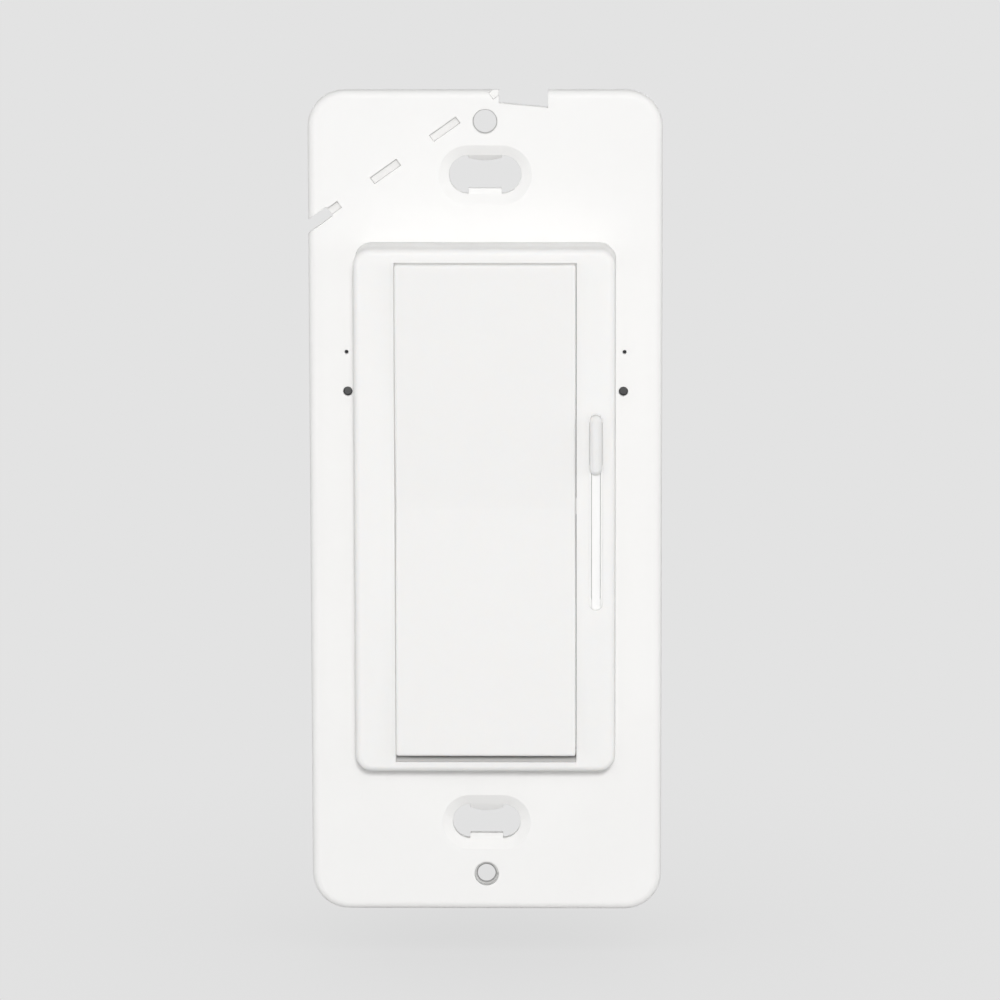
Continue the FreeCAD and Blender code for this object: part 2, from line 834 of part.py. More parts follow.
def choke_core():
    """The choke's ring core, inside its winding."""
    return choke_ring(choke_core_r, choke_hole_r, choke_cover)


def choke_winding():
    """The winding as one sleeve round the core, open at one side between its leads."""
    sleeve = choke_ring(choke_core_r + choke_cover, choke_hole_r - choke_cover, 0)
    gap_x = (choke_x, choke_x + choke_core_r + 2 * choke_cover)
    gap = block(gap_x, (power_board_y - choke_depth, power_board_y), around(choke_z, 2 * choke_cover))
    return sleeve.cut([gap, choke_core()])


def film_capacitor():
    y = (power_board_y - film_depth, power_board_y)
    return block(around(0, film_width), y, around(film_z, film_height))


def electrolytic_capacitor():
    return rod(can_r, at(can_x, power_board_y, can_z), -Y, can_depth)


def varistor():
    """A disc on edge, with its two legs down to the board."""
    y = power_board_y - varistor_r - varistor_lift
    disc = rod(varistor_r, at(varistor_x - varistor_thickness / 2, y, varistor_z), X, varistor_thickness)
    legs = []
    for side in (-1, 1):
        leg_z = around(varistor_z + side * pin_pitch, pin_side)
        legs.append(block(around(varistor_x, pin_side), (y, power_board_y), leg_z))
    return union([disc] + legs)


def fuse():
    y = (power_board_y - fuse_depth, power_board_y)
    return block(around(fuse_x, fuse_width), y, around(fuse_z, fuse_length))


def triac_face_x():
    """The x of the rib's inner face, against which the insulating pad lies."""
    return rib_x + rib_wall / 2


def triac():
    """The switching device, flat on the pad, with its leads down to the power board."""
    x = triac_face_x() + pad_thickness
    tab_end = triac_y + triac_tab_length
    tab = block((x, x + triac_tab_thickness), (triac_y, tab_end), around(triac_z, triac_width))
    hole = pin(triac_screw_r + screw_clearance, at(x, triac_hole_y, triac_z), X, triac_tab_thickness)
    body_x = (x + triac_tab_thickness, x + triac_tab_thickness + triac_body_thickness)
    body = block(body_x, (tab_end - triac_body_length, tab_end), around(triac_z, triac_width))
    lead_x = around(board_lead_x(), triac_lead)
    leads = []
    for n in (-1, 0, 1):
        z = around(triac_z + n * triac_lead_pitch, triac_lead)
        leads.append(block(lead_x, (tab_end, power_board_y), z))
    return union([tab.cut(hole), body] + leads)


def board_lead_x():
    """The x of the triac's leads: in its body, over the power board's edge."""
    return -board_width / 2 + triac_lead + pad_margin


def triac_insulator():
    x = triac_face_x()
    y = (triac_y - pad_margin, triac_y + triac_tab_length)
    pad = block((x, x + pad_thickness), y, around(triac_z, triac_width + 2 * pad_margin))
    return pad.cut(pin(triac_screw_r + screw_clearance, at(x, triac_hole_y, triac_z), X, pad_thickness))


def triac_screw():
    x = triac_face_x() + pad_thickness + triac_tab_thickness
    shank = pin(triac_screw_r, at(rib_x - rib_wall / 2, triac_hole_y, triac_z), X, x - rib_x + rib_wall / 2)
    head = pin(triac_screw_head_r, at(x, triac_hole_y, triac_z), X, triac_screw_head)
    return union([shank, head])


def terminal_sides():
    """Each terminal as its side and height, with the earth terminal last."""
    return [(1, z) for z in right_terminals] + [(-1, neutral_z), (-1, ground_z)]


def pocket_shell(side, z):
    """The box inside the housing that holds one terminal, and the pocket cut from it."""
    outer_x = sorted((side * housing_width / 2, side * (pocket_floor_x - pocket_wall)))
    inner_x = sorted((side * housing_width / 2, side * pocket_floor_x))
    outer_y = (pocket_front_y - pocket_wall, pocket_rear_y + pocket_wall)
    outer = block(outer_x, outer_y, around(z, pocket_height + 2 * pocket_wall))
    inner = block(inner_x, (pocket_front_y, pocket_rear_y), around(z, pocket_height))
    return outer, inner


def strap_slit(side, z, y):
    """The slit through a pocket's wall for its strap, which fits it with the terminal clearance."""
    x = sorted((side * pocket_floor_x, side * (pocket_floor_x + strap_thickness + terminal_clearance)))
    return block(x, y, around(z, strap_width + 2 * terminal_clearance))


def housing():
    outer = prism(rounded_rect(housing_width, housing_height, housing_corner_r, 0), housing_depth)
    outer = outer.makeChamfer(housing_rear_chamfer, end_edges(outer, at(0, housing_depth, 0), Y))
    walls = 2 * housing_wall
    inner_r = housing_corner_r - housing_wall
    inner = rounded_rect(housing_width - walls, housing_height - walls, inner_r, 0)
    shell = outer.cut(prism(inner, housing_floor_y))
    panel = rounded_rect(panel_width, panel_height, panel_corner_r, housing_depth - panel_depth)
    parts = []
    cuts = [prism(panel, housing_depth)]
    for side in (-1, 1):
        end = side * (housing_height / 2 - housing_wall / 2)
        z = sorted((end, side * (board_height / 2 - ledge_reach)))
        parts.append(block(around(0, ledge_width), (control_board_rear, control_board_rear + ledge_depth), z))
        for z in (upper_screw_z, lower_screw_z):
            front = 0 if z == upper_screw_z else boss_height
            x = side * screw_x
            parts.append(block(around(x, column_side), (front, housing_floor_y), around(z, column_side)))
            cuts.append(pin(screw_r + screw_clearance, at(x, front, z), Y, housing_floor_y))
            well_depth = housing_depth - screw_seat_y
            cuts.append(pin(screw_head_r + head_clearance, at(x, screw_seat_y, z), Y, well_depth))
        for end in (-1, 1):
            post_x = around(side * post_spread_x, board_post_side)
            post_z = around(end * post_spread_z, board_post_side)
            parts.append(block(post_x, (power_board_y + board_thickness, housing_floor_y), post_z))
        pip_y = yoke_front + pip_recess
        parts.append(pin(pip_r, at(side * pip_x, pip_y, pip_z), Y, -pip_y))
        bridge_x = sorted((side * (pip_x - pip_bridge / 2), side * (housing_width / 2 - housing_wall)))
        parts.append(block(bridge_x, (0, pip_bridge), around(pip_z, pip_bridge)))
    for side, z in terminal_sides():
        outer_box, inner_box = pocket_shell(side, z)
        parts.append(outer_box)
        cuts.append(inner_box)
        rearward = (pocket_rear_y, pocket_rear_y + pocket_wall)
        forward = (pocket_front_y - pocket_wall, pocket_front_y)
        cuts.append(strap_slit(side, z, forward if is_ground(side, z) else rearward))
    return union([shell] + parts).cut(cuts)


def is_ground(side, z):
    return side == -1 and z == ground_z


def housing_screw(x, z):
    """A long screw from the housing's rear into the yoke."""
    tip = yoke_front + screw_tip_recess if z == upper_screw_z else screw_tip_recess
    shank = pin(screw_r, at(x, tip, z), Y, screw_seat_y - tip)
    head = pin(screw_head_r, at(x, screw_seat_y, z), Y, screw_head)
    return union([shank, head])


def housing_screws():
    return Part.makeCompound(
        [housing_screw(side * screw_x, z) for side in (-1, 1) for z in (upper_screw_z, lower_screw_z)]
    )


def terminal_strap(side, z):
    """A bent strap: flat on the pocket's floor under the screw, and on to the power board or the yoke."""
    x = sorted((side * pocket_floor_x, side * (pocket_floor_x + strap_thickness)))
    if is_ground(side, z):
        y = (0, pocket_rear_y - pocket_wall)
        foot_x = sorted((side * pocket_floor_x, side * (pocket_floor_x + strap_foot)))
        foot_y = (0, strap_thickness)
    else:
        y = (pocket_front_y + pocket_wall, power_board_y)
        foot_x = sorted((side * (pocket_floor_x + strap_thickness), side * (board_width / 2 - strap_foot)))
        foot_y = (power_board_y - strap_thickness, power_board_y)
    return union([block(x, y, around(z, strap_width)), block(foot_x, foot_y, around(z, strap_width))])


def terminal_clamp(side, z):
    """The square pressure plate under a terminal's screw head, open to the rear round the screw."""
    inner = pocket_floor_x + strap_thickness
    x = sorted((side * inner, side * (inner + clamp_thickness)))
    body = block(x, around(pocket_y, clamp_side), around(z, clamp_side))
    half = terminal_screw_r + terminal_clearance
    return body.cut(block(x, (pocket_y - half, pocket_y + clamp_side / 2), around(z, 2 * half)))


def terminal_screw(side, z):
    """A binding-head screw with a driver slot, on the clamp, down to the strap."""
    strap_x = side * (pocket_floor_x + strap_thickness)
    seat_x = strap_x + side * clamp_thickness
    top_x = seat_x + side * terminal_head
    shank = pin(terminal_screw_r, at(strap_x, pocket_y, z), X * side, clamp_thickness)
    head = faceted(head_sides, terminal_head_r, at(seat_x, pocket_y, z), X * side, terminal_head)
    head = head.makeChamfer(terminal_head_chamfer, end_edges(head, at(top_x, pocket_y, z), X))
    slot_x = sorted((top_x - side * terminal_head / 2, top_x))
    slot = block(slot_x, around(pocket_y, 2 * terminal_head_r), around(z, terminal_slot))
    return union([shank, head.cut(slot)])


def live_terminals(make):
    """One solid for each terminal but the earth, as a group."""
    return Part.makeCompound([make(side, z) for side, z in terminal_sides() if not is_ground(side, z)])


pieces = {
    "yoke": yoke(),
    "bezel": bezel(),
    "paddle": paddle(),
    "slider_knob": slider_knob(),
    "slider_shutter": slider_shutter(),
    "light_guide": light_guide(),
    "slider_leds": slider_leds(),
    "switch_carrier": switch_carrier(),
    "switch_domes": switch_domes(),
    "slider_carriage": slider_carriage(),
    "wiper": wiper(),
    "slide_potentiometer": slide_potentiometer(),
    "resistive_track": resistive_track(),
    "control_board": control_board(),
    "microcontroller": microcontroller(),
    "radio_module": radio_module(),
    "header_pins": header_pins(),
    "header_blocks": header_blocks(),
    "power_board": power_board(),
    "triac": triac(),
    "triac_insulator": triac_insulator(),
    "triac_screw": triac_screw(),
    "choke_core": choke_core(),
    "choke_winding": choke_winding(),
    "film_capacitor": film_capacitor(),
    "electrolytic_capacitor": electrolytic_capacitor(),
    "varistor": varistor(),
    "fuse": fuse(),
    "housing": housing(),
    "housing_screws": housing_screws(),
    "terminal_straps": live_terminals(terminal_strap),
    "terminal_clamps": live_terminals(terminal_clamp),
    "terminal_screws": live_terminals(terminal_screw),
    "ground_strap": terminal_strap(-1, ground_z),
    "ground_clamp": terminal_clamp(-1, ground_z),
    "ground_screw": terminal_screw(-1, ground_z),
}
for place, height in plunger_places.items():
    pieces[place + "_plunger"] = plunger(height)
    pieces[place + "_plunger_spring"] = plunger_spring(height)

os.makedirs("parts", exist_ok=True)
for name, shape in pieces.items():
    shape.exportStep(os.path.join("parts", name + ".step"))
    print(name, "solids", len(shape.Solids), "valid", shape.isValid(), "volume", round(shape.Volume, 2))
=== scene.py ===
import math

import bmesh
import bpy
from mathutils import Matrix, Vector


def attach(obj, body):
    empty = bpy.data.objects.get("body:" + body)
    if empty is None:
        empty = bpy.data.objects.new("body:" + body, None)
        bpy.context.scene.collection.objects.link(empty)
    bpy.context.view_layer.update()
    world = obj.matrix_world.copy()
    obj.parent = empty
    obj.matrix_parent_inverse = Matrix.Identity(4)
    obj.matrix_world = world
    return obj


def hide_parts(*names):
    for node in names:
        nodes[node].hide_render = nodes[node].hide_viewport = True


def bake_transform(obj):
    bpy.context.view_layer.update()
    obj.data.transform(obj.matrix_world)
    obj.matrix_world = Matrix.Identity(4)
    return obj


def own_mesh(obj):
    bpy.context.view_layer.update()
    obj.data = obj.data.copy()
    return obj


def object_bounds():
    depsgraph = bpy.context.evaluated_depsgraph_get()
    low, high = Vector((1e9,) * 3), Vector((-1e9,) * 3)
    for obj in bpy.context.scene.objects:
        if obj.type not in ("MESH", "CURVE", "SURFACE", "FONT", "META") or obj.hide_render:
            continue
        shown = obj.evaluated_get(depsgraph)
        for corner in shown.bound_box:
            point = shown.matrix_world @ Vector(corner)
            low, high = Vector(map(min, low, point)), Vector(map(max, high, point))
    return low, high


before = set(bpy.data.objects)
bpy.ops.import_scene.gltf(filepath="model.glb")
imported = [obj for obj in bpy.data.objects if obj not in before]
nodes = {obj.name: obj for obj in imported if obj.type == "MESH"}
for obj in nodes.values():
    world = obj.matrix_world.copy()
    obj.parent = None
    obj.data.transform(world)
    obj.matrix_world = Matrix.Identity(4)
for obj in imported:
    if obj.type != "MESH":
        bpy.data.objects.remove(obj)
cad_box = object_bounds()
MM = 0.001

# Camera, worked out from the photograph's outlines. Angles are in degrees.
VIEW_AZIMUTH = 1.049
VIEW_ELEVATION = 9.267
VIEW_ROLL = -0.111
VIEW_DISTANCE = 0.7398
VIEW_TARGET = Vector((1.7675 * MM, 0, -0.0913 * MM))
FOCAL_PIXELS = 5807.36
IMAGE_PIXELS = 1000
SENSOR = 36.0
CLIP_NEAR = 0.05
CLIP_FAR = 20

# World and floor: the tone that is seen behind the part, and the soft shadow below it
WORLD_STRENGTH = 0.3
BACKGROUND = 0.768
SHADOW_REACH = 0.09
SHADOW_TONE = 0.84
FLOOR_DROP = 6 * MM
FLOOR_HALF = 3.0
FLOOR_COLOUR = (0.6, 0.6, 0.6)
FLOOR_ROUGHNESS = 0.9

# Area lamps, each turned towards the origin: name, place, width and height, power in watts
LAMPS = (
    ("key", (0.08, -1.92, 0.52), (0.16, 0.16), 19.6),
    ("front", (-0.1, -1.2, 0.2), (0.9, 0.7), 1.0),
    ("right", (1.3, -0.35, 0.2), (0.7, 0.7), 3.8),
    ("left", (-1.3, -0.35, 0.2), (0.7, 0.7), 3.1),
    ("top", (0, -0.3, 1.3), (0.7, 0.7), 1.3),
    ("rear", (0, 1.5, 0.05), (0.9, 0.7), 7.0),
)

# Corners and narrow gaps are told by how open a surface is to its surroundings within this reach
CORNER_REACH = 4.0 * MM
OPEN_SAMPLES = 6
# Painted shade: corners are darkened by these factors, and over this range of openness that fades out
PAINTED_CORNER_SHADE = 0.9
PLATE_PAINTED_CORNER_SHADE = 0.97
PAINTED_CORNER_RANGE = (0.5, 1)
# Painted light: plastic in narrow gaps is given a glow, and over these ranges of openness that fades out
GAP_PAINTED_LIGHT = 0.15
GAP_PAINTED_RANGE = (0.05, 0.4)
LIT_GAP_PAINTED_LIGHT = 0.25
LIT_GAP_PAINTED_RANGE = (0.02, 0.2)

# Edges are rounded off in the shading by these radii
EDGE_SAMPLES = 6
MOULDED_EDGE = 0.1 * MM
KNOB_EDGE = 0.35 * MM
PAINTED_EDGE = 0.15 * MM
HOUSING_EDGE = 0.2 * MM
METAL_EDGE = 0.2 * MM
MILKY_EDGE = 0.03 * MM

# Scales of the noise in the materials, in cycles per metre
PAINT_TONE = 60
PAINT_WAVE = 500
PAINT_SHEEN = 900
MOULD_TONE = 45
MOULD_FLOW = 260
MOULD_SHEEN = 700
MOULD_GRAIN = 4200
MILKY_TONE = 120
MILKY_SHEEN = 900
MILKY_GRAIN = 1500
HOUSING_TONE = 700
HOUSING_SHEEN = 1200
HOUSING_GRAIN = 3200
METAL_TONE = 180
METAL_MARKS = 3000
BOARD_TRACKS = 420
BOARD_WEAVE = 1400
# Slow changes in moulded plastic are drawn out along the part's height by these factors
TONE_STRETCH = (1, 1, 0.3)
FLOW_STRETCH = (1, 1, 0.25)

# Relief: strength and depth of each kind. Paint and mouldings have their strengths in their rows.
PEEL_DEPTH = 0.06 * MM
WAVE_DEPTH = 0.2 * MM
GRAIN_DEPTH = 0.04 * MM
FLOW_DEPTH = 0.15 * MM
MILKY_RELIEF = (0.03, 0.05 * MM)
HOUSING_RELIEF = (0.3, 0.05 * MM)
METAL_RELIEF = (0.06, 0.04 * MM)
TRACK_RELIEF = (0.2, 0.05 * MM)
WEAVE_RELIEF = (0.04, 0.02 * MM)

# The housing, with the recessed panel on its rear face and how much smoother that is
PANEL_HALF_X = 12.5 * MM
PANEL_HALF_Z = 22.0 * MM
PANEL_Y = 29.6 * MM
PANEL_SOFT = 0.1 * MM
PANEL_SMOOTHER = 0.14
HOUSING_COLOUR = (0.022, 0.022, 0.024)
HOUSING_PALER = (0.034, 0.034, 0.036)
HOUSING_ROUGHNESS = (0.45, 0.6)

# Circuit boards
BOARD_MASK = (0.02, 0.16, 0.07, 1)
BOARD_MASK_PALER = (0.03, 0.2, 0.09, 1)
TRACK_COLOUR = (0.07, 0.34, 0.15, 1)
TRACK_WIDTH = 0.03
BOARD_ROUGHNESS = (0.32, 0.42)
BOARD_VARNISH = 0.3

# How much paint and dull plastic, and white plastic, mirror
DULL_SPECULAR = 0.35
WHITE_SPECULAR = 0.4

# Paint: name, colour, darker colour (also the colour of the painted shade in corners), grain in cycles per
# metre, relief
PAINT_ROUGHNESS = (0.52, 0.6)
YOKE_PAINT = ("yoke_paint", (0.9, 0.895, 0.885), (0.885, 0.88, 0.87), 2600, 0.05)
THREAD_PAINT = ("thread_paint", (0.72, 0.72, 0.71), (0.6, 0.6, 0.59), 5200, 0.1)

# White plastics: name, colour, colour for the painted shade in its corners, edge radius, nodes
WHITE_PLASTICS = (
    ("white_plastic", (0.888, 0.883, 0.873), (0.878, 0.873, 0.863), MOULDED_EDGE, ("bezel",)),
    ("paddle_white", (0.867, 0.862, 0.852), (0.857, 0.852, 0.842), MOULDED_EDGE, ("paddle",)),
    ("knob_white", (0.83, 0.828, 0.822), (0.82, 0.817, 0.81), KNOB_EDGE, ("slider_knob",)),
)
WHITE_ROUGHNESS = (0.52, 0.6)
WHITE_DEPTH = {
    "Subsurface_Weight": 0.25,
    "Subsurface_Radius": (1.0, 0.9, 0.8),
    "Subsurface_Scale": 0.6 * MM,
}

# Milky plastics that pass light: name, colour, darker colour, glow, nodes
MILKY_PLASTICS = (
    ("lit_shutter", (0.8, 0.8, 0.795), (0.78, 0.78, 0.775), 0.1, ("slider_shutter",)),
    ("light_pipe", (0.93, 0.93, 0.925), (0.91, 0.91, 0.905), 0.05, ("light_guide",)),
    ("led_case", (0.93, 0.93, 0.925), (0.91, 0.91, 0.905), 0.05, ("slider_leds",)),
)
MILKY_ROUGHNESS = (0.4, 0.5)
MILKY_LIGHT = (1.0, 0.99, 0.98, 1)
MILKY_DEPTH = {
    "Subsurface_Weight": 0.5,
    "Subsurface_Radius": (1.0, 1.0, 1.0),
    "Subsurface_Scale": 1.0 * MM,
}

# Other plastics and coatings: name, two colours, roughness, relief, nodes
DULL = (0.5, 0.58)
FINE = 0.03
MOULDINGS = (
    (
        "inner_plastic", (0.6, 0.6, 0.58), (0.55, 0.55, 0.53), (0.45, 0.55), FINE,
        ("switch_carrier", "slider_carriage", "upper_plunger", "lower_plunger"),
    ),
    (
        "black_moulding", (0.03, 0.03, 0.032), (0.022, 0.022, 0.024), (0.4, 0.5), 0.1,
        ("slide_potentiometer", "header_blocks", "microcontroller", "triac", "fuse"),
    ),
    ("carbon_track", (0.02, 0.02, 0.02), (0.03, 0.03, 0.03), (0.7, 0.85), FINE, ("resistive_track",)),
    ("silicone_pad", (0.35, 0.36, 0.38), (0.3, 0.31, 0.33), (0.7, 0.8), FINE, ("triac_insulator",)),
    ("iron_powder", (0.16, 0.15, 0.1), (0.2, 0.18, 0.12), (0.6, 0.7), FINE, ("choke_core",)),
    ("film_case", (0.6, 0.42, 0.05), (0.52, 0.36, 0.04), DULL, FINE, ("film_capacitor",)),
    ("can_sleeve", (0.02, 0.03, 0.07), (0.03, 0.04, 0.09), DULL, FINE, ("electrolytic_capacitor",)),
    ("varistor_coat", (0.02, 0.08, 0.3), (0.03, 0.1, 0.36), DULL, 0.15, ("varistor",)),
)

# Metals: name, two colours, roughness, nodes. The two steels are for the copies of springs and domes.
SATIN = (0.25, 0.4)
METALS = (
    (
        "contact_metal", (0.74, 0.55, 0.26), (0.68, 0.48, 0.2), SATIN,
        ("wiper", "header_pins", "terminal_straps", "ground_strap"),
    ),
    (
        "plated_screw", (0.62, 0.62, 0.6), (0.5, 0.5, 0.49), SATIN,
        ("triac_screw", "terminal_clamps", "ground_clamp", "radio_module"),
    ),
    ("copper_wire", (0.6, 0.24, 0.1), (0.5, 0.18, 0.07), (0.2, 0.3), ("choke_winding",)),
    ("dark_screw", (0.05, 0.05, 0.05), (0.08, 0.08, 0.08), (0.35, 0.5), ("housing_screws",)),
    ("terminal_brass", (0.78, 0.58, 0.26), (0.7, 0.5, 0.2), (0.2, 0.34), ("terminal_screws",)),
    ("ground_green", (0.03, 0.26, 0.09), (0.04, 0.32, 0.12), SATIN, ("ground_screw",)),
)
SPRING_STEEL = ("spring_steel", (0.62, 0.62, 0.6), (0.5, 0.5, 0.49), SATIN)
DOME_STEEL = ("dome_steel", (0.7, 0.7, 0.68), (0.6, 0.6, 0.58), (0.15, 0.3))

# Threads in the wall-plate screw holes. The foot is half a ridge's width, as a share of the pitch, and
# it is sunk a little into the hole's wall.
COVER_SCREW_Z = 48.42 * MM
COVER_HOLE_R = 1.55 * MM
YOKE_FRONT = -1.8 * MM
THREAD_PITCH = 0.79 * MM
THREAD_TURNS = 1.25
THREAD_STEPS = 32
THREAD_FOOT = 0.45
THREAD_SUNK = 0.05 * MM
UPPER_THREAD_HEIGHT = 0.1 * MM
LOWER_THREAD_HEIGHT = 0.4 * MM


def add_object(name, mesh, body, material):
    """Adds a mesh as a piece of its own."""
    piece = bpy.data.objects.new(name, mesh)
    bpy.context.scene.collection.objects.link(piece)
    mesh.materials.append(material)
    if body:
        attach(piece, body)
    return piece


def aim(item, target=Vector((0, 0, 0)), roll=0.0):
    """Turns a lamp or camera at its place so that it looks at a target."""
    ahead = (target - item.location).normalized()
    right = ahead.cross(Vector((0, 0, 1))).normalized()
    up = right.cross(ahead)
    turned_right = math.cos(roll) * right + math.sin(roll) * up
    turned_up = -math.sin(roll) * right + math.cos(roll) * up
    turn = Matrix((turned_right, turned_up, -ahead)).transposed()
    item.rotation_mode = "QUATERNION"
    item.rotation_quaternion = turn.to_quaternion()


def make_camera():
    """Places the camera where the photograph was taken from."""
    azimuth = math.radians(VIEW_AZIMUTH)
    elevation = math.radians(VIEW_ELEVATION)
    back = Vector((
        math.sin(azimuth) * math.cos(elevation),
        -math.cos(azimuth) * math.cos(elevation),
        math.sin(elevation),
    ))
    camera = bpy.data.objects.new("camera", bpy.data.cameras.new("camera"))
    bpy.context.scene.collection.objects.link(camera)
    camera.data.sensor_width = SENSOR
    camera.data.lens = FOCAL_PIXELS * SENSOR / IMAGE_PIXELS
    camera.data.clip_start = CLIP_NEAR
    camera.data.clip_end = CLIP_FAR
    camera.location = VIEW_TARGET + back * VIEW_DISTANCE
    aim(camera, VIEW_TARGET, math.radians(VIEW_ROLL))
    bpy.context.scene.camera = camera


class Look:
    """A procedural material, built node by node."""

    def __init__(self, name):
        self.material = bpy.data.materials.new(name)
        self.material.use_nodes = True
        self.tree = self.material.node_tree
        self.shader = self.tree.nodes["Principled BSDF"]
        self.place = self.add("ShaderNodeTexCoord").outputs["Object"]

    def feed(self, socket, value):
        """Links a socket to another, or gives it a constant."""
        if isinstance(value, bpy.types.NodeSocket):
            self.tree.links.new(value, socket)
        else:
            socket.default_value = value

    def feed_all(self, node, inputs):
        """Feeds sockets by their names, in which an underscore stands for each space."""
        for key, value in inputs.items():
            self.feed(node.inputs[key.replace("_", " ")], value)

    def add(self, kind, **inputs):
        node = self.tree.nodes.new(kind)
        self.feed_all(node, inputs)
        return node

    def set(self, **inputs):
        self.feed_all(self.shader, inputs)
        return self.material

    def noise(self, scale, detail=3.0, rough=0.5, stretch=None):
        """Noise over the object's own coordinates, as cycles per metre."""
        place = self.place
        if stretch:
            place = self.add("ShaderNodeMapping", Vector=place, Scale=stretch).outputs["Vector"]
        node = self.add("ShaderNodeTexNoise", Vector=place, Scale=scale, Detail=detail, Roughness=rough)
        return node.outputs["Fac"]

    def ramp(self, value, low, high, start=0.3, end=0.7):
        """An even change from one number to another as a value goes from start to end."""
        ends = {"From_Min": start, "From_Max": end, "To_Min": low, "To_Max": high}
        return self.add("ShaderNodeMapRange", Value=value, **ends).outputs["Result"]

    def maths(self, operation, first, second=0.0):
        node = self.tree.nodes.new("ShaderNodeMath")
        node.operation = operation
        self.feed(node.inputs[0], first)
        self.feed(node.inputs[1], second)
        return node.outputs[0]

    def axes(self):
        """The object's own X, Y and Z, in metres."""
        return self.add("ShaderNodeSeparateXYZ", Vector=self.place).outputs

    def within(self, value, half, soft):
        """One where a value is nearer to zero than a half width, and zero further out."""
        return self.ramp(self.maths("ABSOLUTE", value), 1, 0, half - soft, half + soft)

    def openness(self):
        """One on an open surface, and less where other surfaces stand close over it."""
        node = self.add("ShaderNodeAmbientOcclusion", Distance=CORNER_REACH)
        node.samples = OPEN_SAMPLES
        return node.outputs["AO"]

    def with_painted_shade(self, openness, colour, shade, tone):
        """Painted shade: a colour that turns into a darker colour, darkened further by a tone, in corners.
        """
        corner = self.ramp(openness, 1, 0, *PAINTED_CORNER_RANGE)
        return self.blend(corner, colour, tuple(tone * part for part in shade))

    def rounded(self, radius):
        """A normal that is rounded off at edges, as a moulded edge is."""
        node = self.add("ShaderNodeBevel", Radius=radius)
        node.samples = EDGE_SAMPLES
        return node.outputs["Normal"]

    def blend(self, amount, first, second):
        """A mix of two colours, each a tuple or a socket."""
        node = self.tree.nodes.new("ShaderNodeMix")
        node.data_type = "RGBA"
        self.feed(node.inputs[0], amount)
        self.feed(node.inputs[6], (*first, 1) if isinstance(first, tuple) else first)
        self.feed(node.inputs[7], (*second, 1) if isinstance(second, tuple) else second)
        return node.outputs[2]

    def bump(self, height, strength, distance, below=None):
        """A normal with relief in it, laid over the normal below if one is given."""
        node = self.add("ShaderNodeBump", Strength=strength, Distance=distance, Height=height)
        if below is not None:
            self.feed(node.inputs["Normal"], below)
        return node.outputs["Normal"]

    def mould(self, roughness, relief, edge):
        """Gives the shader a moulded surface: fine mould grain over faint flow marks."""
        grain = self.noise(MOULD_GRAIN, detail=2)
        flow = self.noise(MOULD_FLOW, detail=2, stretch=FLOW_STRETCH)
        fine = self.bump(grain, relief, GRAIN_DEPTH, self.rounded(edge))
        self.set(
            Roughness=self.ramp(self.noise(MOULD_SHEEN), *roughness),
            Normal=self.bump(flow, relief, FLOW_DEPTH, fine),
        )


def painted(name, colour, shade, grain, relief):
    """Powder coat: fine orange peel, with a slow change of tone, and painted shade in its corners."""
    look = Look(name)
    tone = look.ramp(look.noise(PAINT_TONE, detail=4), 0, 1)
    peel = look.noise(grain, detail=2, rough=0.45)
    wave = look.noise(PAINT_WAVE, detail=2)
    coat = look.bump(peel, relief, PEEL_DEPTH, look.rounded(PAINTED_EDGE))
    base = look.blend(tone, colour, shade)
    return look.set(
        # Painted shade: the paint's colour is darkened in corners
        Base_Color=look.with_painted_shade(look.openness(), base, shade, PLATE_PAINTED_CORNER_SHADE),
        Roughness=look.ramp(look.noise(PAINT_SHEEN), *PAINT_ROUGHNESS),
        Specular_IOR_Level=DULL_SPECULAR,
        Normal=look.bump(wave, relief, WAVE_DEPTH, coat),
    )


def moulded(name, colour, shade, roughness, relief):
    """Moulded plastic with a soft change of tone."""
    look = Look(name)
    look.mould(roughness, relief, MOULDED_EDGE)
    tone = look.ramp(look.noise(MOULD_TONE, stretch=TONE_STRETCH), 0, 1)
    return look.set(Base_Color=look.blend(tone, colour, shade), Specular_IOR_Level=DULL_SPECULAR)


def white_moulded(name, colour, shade, edge):
    """White plastic that light enters, with painted shade in its corners and a painted glow that keeps its
    narrow gaps pale.
    """
    look = Look(name)
    look.mould(WHITE_ROUGHNESS, FINE, edge)
    openness = look.openness()
    return look.set(
        # Painted shade: the white is darkened in corners
        Base_Color=look.with_painted_shade(openness, colour, shade, PAINTED_CORNER_SHADE),
        Specular_IOR_Level=WHITE_SPECULAR,
        # Painted light: the white glows in narrow gaps
        Emission_Color=(*colour, 1),
        Emission_Strength=look.ramp(openness, GAP_PAINTED_LIGHT, 0, *GAP_PAINTED_RANGE),
        **WHITE_DEPTH,
    )


def milky(name, colour, shade, glow):
    """Milky plastic that passes light and glows a little, with a stronger painted glow in its narrow gaps.
    """
    look = Look(name)
    tone = look.ramp(look.noise(MILKY_TONE), 0, 1)
    return look.set(
        Base_Color=look.blend(tone, colour, shade),
        Roughness=look.ramp(look.noise(MILKY_SHEEN), *MILKY_ROUGHNESS),
        Normal=look.bump(look.noise(MILKY_GRAIN), *MILKY_RELIEF, look.rounded(MILKY_EDGE)),
        Emission_Color=MILKY_LIGHT,
        # Painted light: the glow is stronger in narrow gaps
        Emission_Strength=look.ramp(look.openness(), LIT_GAP_PAINTED_LIGHT, glow, *LIT_GAP_PAINTED_RANGE),
        **MILKY_DEPTH,
    )


